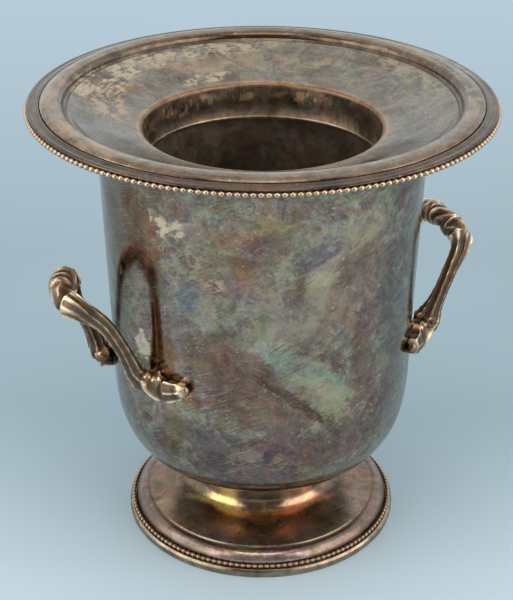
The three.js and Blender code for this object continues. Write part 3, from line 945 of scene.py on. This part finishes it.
COLLAR_CHIPS = [
    ((136, 90), (22, 11), 0, BARE, 0.95),
    ((150, 80), (16, 10), 0, (190, 168, 140), 0.9),
    ((157, 71), (7, 4), 0, (172, 154, 130), 0.8),
    ((118, 92), (28, 6), 0, BARE, 0.95),
    ((100, 91), (30, 7), 0, BARE, 0.9),
    ((80, 93), (34, 5.5), 0, (190, 176, 150), 0.9),
    ((94, 69), (17, 4), 8, BARE, 0.95),
    ((62, 80), (20, 9), 0, (176, 160, 136), 0.6),
    ((45, 84), (9, 6), 0, (176, 158, 134), 0.7),
    ((8, 92), (34, 5), 0, (178, 166, 144), 0.75),
    ((-170, 90), (24, 7), 0, (150, 150, 146), 0.6),
    ((-15, 84), (16, 9), 0, (160, 150, 132), 0.5),
    ((-10, 106), (70, 6), 0, (100, 92, 82), 0.85),
    ((60, 106), (40, 5), 0, (120, 102, 84), 0.7),
    ((-165, 106), (60, 5), 0, (182, 158, 130), 0.8),
    ((150, 106), (40, 5), 0, (178, 150, 122), 0.8),
]
COLLAR_ZONES = [
    # painted shade on the crest's inner slope and the step below it
    (98.4, 103.0, 0.5, (96, 78, 64), 0.8),
    (103.2, 109.4, 0.7, (154, 138, 119), 0.7),
    (109.4, 120, 0.6, (128, 108, 90), 0.85),
    (50, 64.4, 0.6, (170, 140, 112), 0.8),
]
collar_look = tarnished("tarnished_plate_collar", Plate(), PLATE_SEES, COLLAR_STOPS, 30,
                        patches=COLLAR_PATCHES, zones=COLLAR_ZONES, chips=COLLAR_CHIPS,
                        gloss=(0.14, 0.28), scratch=0.8, tilts=RING_TILTS, light=(172, 162, 142),
                        dark=(92, 80, 68), lathe=0.35, hues=0.45)

RIM_STOPS = [(0.34, (70, 61, 53)), (0.45, (90, 78, 66)), (0.55, (105, 89, 74)), (0.66, (76, 66, 58))]
RIM_PATCHES = [
    ((10, 115), (70, 5), 0, (138, 136, 124), 0.65),
    ((-120, 115), (60, 4), 0, (112, 90, 78), 0.5),
]
rim_look = tarnished("tarnished_plate_rim", Plate(), PLATE_SEES, RIM_STOPS, 18, patches=RIM_PATCHES,
                     gloss=(0.14, 0.26), scratch=0.6, tilts=RING_TILTS, lathe=0.25)

FOOT_STOPS = [
    (0.34, (88, 74, 60)),
    (0.43, (102, 88, 74)),
    (0.50, (112, 98, 84)),
    (0.57, (98, 88, 74)),
    (0.66, (84, 76, 68)),
]
FOOT_PATCHES = [
    # painted light: the front of the plate is lifted where it reflects the dark room and the bowl
    ((-113, 55), (38, 11), 0, (128, 128, 128), 0.9),
    ((-172, 60), (8, 5), 0, (124, 106, 88), 0.6),
    # the cove's gold and pink film, painted bright: painted highlights of the lights, and a painted
    # highlight line across the middle
    ((-142, 39.5), (24, 3.6), 0, (194, 182, 128), 0.9),
    ((-80, 39.5), (22, 3.6), 0, (200, 158, 128), 0.85),
    ((-113, 42), (7, 3.6), 0, (190, 176, 124), 0.8),
    # painted highlight along the front of the ovolo
    ((-113, 69), (34, 5), 0, (236, 220, 214), 0.95),
    ((-70, 57), (12, 5), 0, (90, 78, 66), 0.6),
    ((-45, 54), (14, 8), 0, (106, 98, 92), 0.6),
]
FOOT_CHIPS = [((-166, 60), (18, 7), 0, (128, 112, 92), 0.5), ((-100, 60), (30, 4), 0, (118, 98, 78), 0.5)]
FOOT_ZONES = [(64.2, 72, 0.4, (98, 90, 86), 0.7)]
foot_look = tarnished("tarnished_plate_foot", Plate(), FOOT_SEES, FOOT_STOPS, 26,
                      patches=FOOT_PATCHES, zones=FOOT_ZONES, chips=FOOT_CHIPS, gloss=(0.2, 0.3),
                      scratch=0.25, tilts=RING_TILTS, light=(150, 130, 106), dark=(60, 48, 38),
                      lathe=0.12, torn=0.35, soft=0.45)

EDGE_STOPS = [(0.34, (104, 98, 88)), (0.50, (136, 132, 120)), (0.66, (114, 112, 102))]
edge_look = tarnished("tarnished_plate_edge", Wall(75), WALL_SEES, EDGE_STOPS, 20, gloss=(0.18, 0.34),
                      scratch=0.6, tilts=(2, -4, 3))

LINER_STOPS = [(0.34, (44, 37, 29)), (0.50, (50, 43, 34)), (0.66, (58, 49, 39))]
liner_look = tarnished("tarnished_plate_liner", Wall(67, BEHIND), INSIDE_SEES, LINER_STOPS, 40,
                       gloss=(0.4, 0.5), scratch=0.1, light=(66, 58, 48), dark=(36, 30, 24))

NECK_STOPS = [(0.36, (48, 40, 32)), (0.50, (56, 47, 37)), (0.62, (68, 57, 45))]
NECK_ZONES = [
    (61.1, 70, 0.1, film((146, 118, 92), PLATE_SEES), 1.0),
    (50, 60.85, 0.08, (90, 77, 58), 0.8),
]
NECK_CHIPS = [
    ((112, 223), (22, 4.5), 0, (142, 120, 95), 0.95),
    ((78, 224), (10, 4), 0, (130, 108, 84), 0.9),
    ((48, 224), (16, 3.5), 0, (120, 98, 74), 0.85),
    ((146, 222), (14, 6), 0, (130, 108, 86), 0.85),
    ((20, 215), (16, 6), 0, (78, 64, 50), 0.7),
]
neck_look = tarnished("tarnished_plate_neck", Wall(61, BEHIND), NECK_SEES, NECK_STOPS, 22,
                      zones=NECK_ZONES, chips=NECK_CHIPS, gloss=(0.34, 0.46), scratch=0.1,
                      tilts=(88, -86, 84), light=(96, 84, 68), dark=(36, 30, 24))


def cast(name, tones, gloss, chased):
    """Cast and beaded metal: dark in its hollows with patina and painted shade, and bright on its ridges
    where it is rubbed and painted with a highlight. Gloss is the roughness in a hollow and on a ridge."""
    look = Look(name)
    wear_and_light = look.node("ShaderNodeAttribute", attribute_name="wear_and_light").outputs["Fac"]
    cloud = look.noise(look.place, 190, 6.0, 0.66)
    uneven = look.plus(wear_and_light, look.swing(cloud, 0.6))
    height = look.plus(cloud, look.noise(look.place, 900, 3.0, 0.7))
    if chased:
        # fine lines left by the chasing tool run along the casting
        skin = look.node("ShaderNodeAttribute", attribute_name="skin").outputs["Vector"]
        lines = look.noise(look.mapped(skin, scale=(0.9, 0.11, 1)), 1.0, 3.0, 0.6)
        height = look.plus(height, look.times(lines, 1.6))
        uneven = look.plus(uneven, look.swing(lines, 0.7))
    colour = look.ramp(uneven, [(at, film(shown, WALL_SEES)) for at, shown in tones])
    hue = look.mix(0.4, MID_GREY, look.noise(look.place, 60, 4.0, 0.6, 0.5, "Color"))
    colour = look.mix(0.4, colour, hue, "OVERLAY")
    rough = look.step(uneven, 0.1, 0.8, *gloss)
    return look.finish(colour, rough, look.bump(height, 0.00009, 0.6))


# the darkest tone is patina and painted shade in the hollows, the cream top tone a painted highlight on the
# ridges
handle_look = cast("cast_handle_metal", [
    (0.02, (68, 61, 52)),
    (0.25, (87, 79, 70)),
    (0.5, (115, 105, 92)),
    (0.73, (226, 214, 187)),
], (0.42, 0.24), True)
# here and on the foot's beads: the top tone is a painted highlight on the crowns, the dark bottom painted
# shade on the wire
bead_look = cast("beaded_rim_metal", [
    (0.1, (66, 56, 47)),
    (0.3, (132, 117, 102)),
    (0.6, (146, 134, 118)),
    (1.0, (184, 174, 154)),
], (0.42, 0.26), False)
foot_bead_look = cast("beaded_foot_metal", [
    (0.1, (66, 56, 47)),
    (0.3, (104, 92, 80)),
    (0.6, (130, 115, 99)),
    (1.0, (164, 148, 126)),
], (0.46, 0.32), False)


def brass(name):
    look = Look(name)
    cloud = look.noise(look.place, 260, 5.0, 0.6)
    colour = look.ramp(cloud, [
        (0.3, (0.32, 0.22, 0.1, 1)),
        (0.6, (0.56, 0.42, 0.2, 1)),
        (0.8, (0.66, 0.52, 0.28, 1)),
    ])
    turning = look.noise(look.mapped(look.place, scale=(1, 1, 0.1)), 2600, 2.0)
    return look.finish(colour, look.step(cloud, 0.3, 0.7, 0.28, 0.46), look.bump(turning, 0.00003, 0.4))


brass_look = brass("turned_brass")

# ------------------------ pieces
PIECES = [
    (body, "bucket", ("body_shell",), "body_silver", body_look),
    (rim_band, "bucket", ("rim_band",), "rim_silver", rim_look),
    (rim_beads, "bucket", ("rim_bead_wire",), "bead_silver", bead_look),
    (foot, "bucket", ("foot_shell",), "foot_silver", foot_look),
    (foot_beads, "bucket", ("foot_bead_wire",), "bead_silver", foot_bead_look),
    (foot_edge, "bucket", ("foot_edge_band",), "foot_silver", edge_look),
    (handle_right, "bucket", ("handle_right",), "handle_silver", handle_look),
    (handle_left, "bucket", ("handle_left",), "handle_silver", handle_look),
    (collar, "collar", ("collar_plate",), "collar_silver", collar_look),
    (neck, "collar", ("collar_neck",), "collar_silver", neck_look),
    (liner, "liner", ("liner_can",), "liner_silver", liner_look),
    (liner_wire, "liner", ("liner_rim_wire",), "liner_silver", liner_look),
]
for piece, rides, nodes, slot, look in PIECES:
    piece.data.materials.append(look)
    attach(piece, rides)
    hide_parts(*nodes)

for name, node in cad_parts.items():
    if set(name.split("_")) & {"stud", "washer", "nut"}:
        for place in node.material_slots:
            place.link = "OBJECT"
            place.material = brass_look

# ------------------------ floor, light and camera
FLOOR = 6  # half of its side
corners = [(-FLOOR, -FLOOR, 0), (FLOOR, -FLOOR, 0), (FLOOR, FLOOR, 0), (-FLOOR, FLOOR, 0)]
floor = add_object("floor", corners, [(0, 1, 2, 3)])
paper = Look("pale_paper")
# painted light and shade: the paper is painted paler in front of the object and far behind it, and darker
# round the object, where less light falls
ahead = paper.split(paper.mapped(paper.place, turn=FRONT))[0]
depth = paper.node("ShaderNodeMapRange", {"Value": ahead, "From Min": -1.1, "From Max": 0.1}).outputs[0]
grain = paper.times(paper.noise(paper.place, 3.0, 2.0), 0.04)
pale = paper.ramp(paper.plus(depth, grain), [
    (0.05, (0.53, 0.65, 0.73, 1)),
    (0.66, (0.32, 0.41, 0.46, 1)),
    (0.85, (0.32, 0.425, 0.475, 1)),
    (1.0, (0.50, 0.61, 0.68, 1)),
])
floor.data.materials.append(paper.finish(pale, 0.9, metallic=0.0))

studio = bpy.data.worlds.new("studio")
bpy.context.scene.world = studio
studio.use_nodes = True
# a bright wall and ceiling behind the object, and a darker room in front of it
BEHIND_TONE, AHEAD_TONE = (0.66, 0.72, 0.76, 1), (0.13, 0.13, 0.132, 1)
room = Nodes(studio.node_tree)
direction = room.node("ShaderNodeTexCoord").outputs["Generated"]
facing_front = room.measure("DOT_PRODUCT", direction, (math.cos(FRONT), math.sin(FRONT), 0))
background = studio.node_tree.nodes["Background"]
room.feed(room.mix(room.step(facing_front, -0.1, 0.3), BEHIND_TONE, AHEAD_TONE), background.inputs["Color"])
room.feed(1.5, background.inputs["Strength"])


def softbox(name, location, aim_z, side, power, tint):
    light = bpy.data.lights.new(name, "AREA")
    light.shape, light.size = "SQUARE", side
    light.energy, light.color = power, tint
    lamp = bpy.data.objects.new(name, light)
    lamp.location = location
    lamp.rotation_euler = (Vector((0, 0, aim_z)) - Vector(location)).to_track_quat("-Z", "Y").to_euler()
    bpy.context.scene.collection.objects.link(lamp)


CENTRE_Z, OVER_IT_Z = 0.13, 0.3
WARM, WARM_WHITE = (1.0, 0.98, 0.94), (1.0, 0.99, 0.97)
softbox("softbox_left", (-1.32, -0.10, 0.78), OVER_IT_Z, 1.5, 15, WARM)
softbox("softbox_right", (0.87, -1.02, 0.78), OVER_IT_Z, 1.5, 15, WARM)
softbox("softbox_top", (-0.20, -0.48, 1.65), CENTRE_Z, 0.8, 4, WARM_WHITE)

AZIMUTH, ELEVATION, ROLL = math.radians(-22.5), math.radians(27.67), math.radians(0.25)
DISTANCE, AIM_Z = 0.812, 0.1288
camera_data = bpy.data.cameras.new("camera")
camera_data.lens = 90
camera_data.sensor_width = 36
camera_data.shift_x = -0.0088
camera_data.clip_start, camera_data.clip_end = 0.05, 20
camera = bpy.data.objects.new("camera", camera_data)
bpy.context.scene.collection.objects.link(camera)
back = Vector((math.sin(AZIMUTH) * math.cos(ELEVATION),
               -math.cos(AZIMUTH) * math.cos(ELEVATION),
               math.sin(ELEVATION)))
facing = (-back).to_track_quat("-Z", "Y").to_matrix() @ Matrix.Rotation(ROLL, 3, "Z")
camera.matrix_world = Matrix.Translation(Vector((0, 0, AIM_Z)) + back * DISTANCE) @ facing.to_4x4()
bpy.context.scene.camera = camera
bpy.context.scene.view_settings.view_transform = "Standard"

bpy.context.view_layer.update()
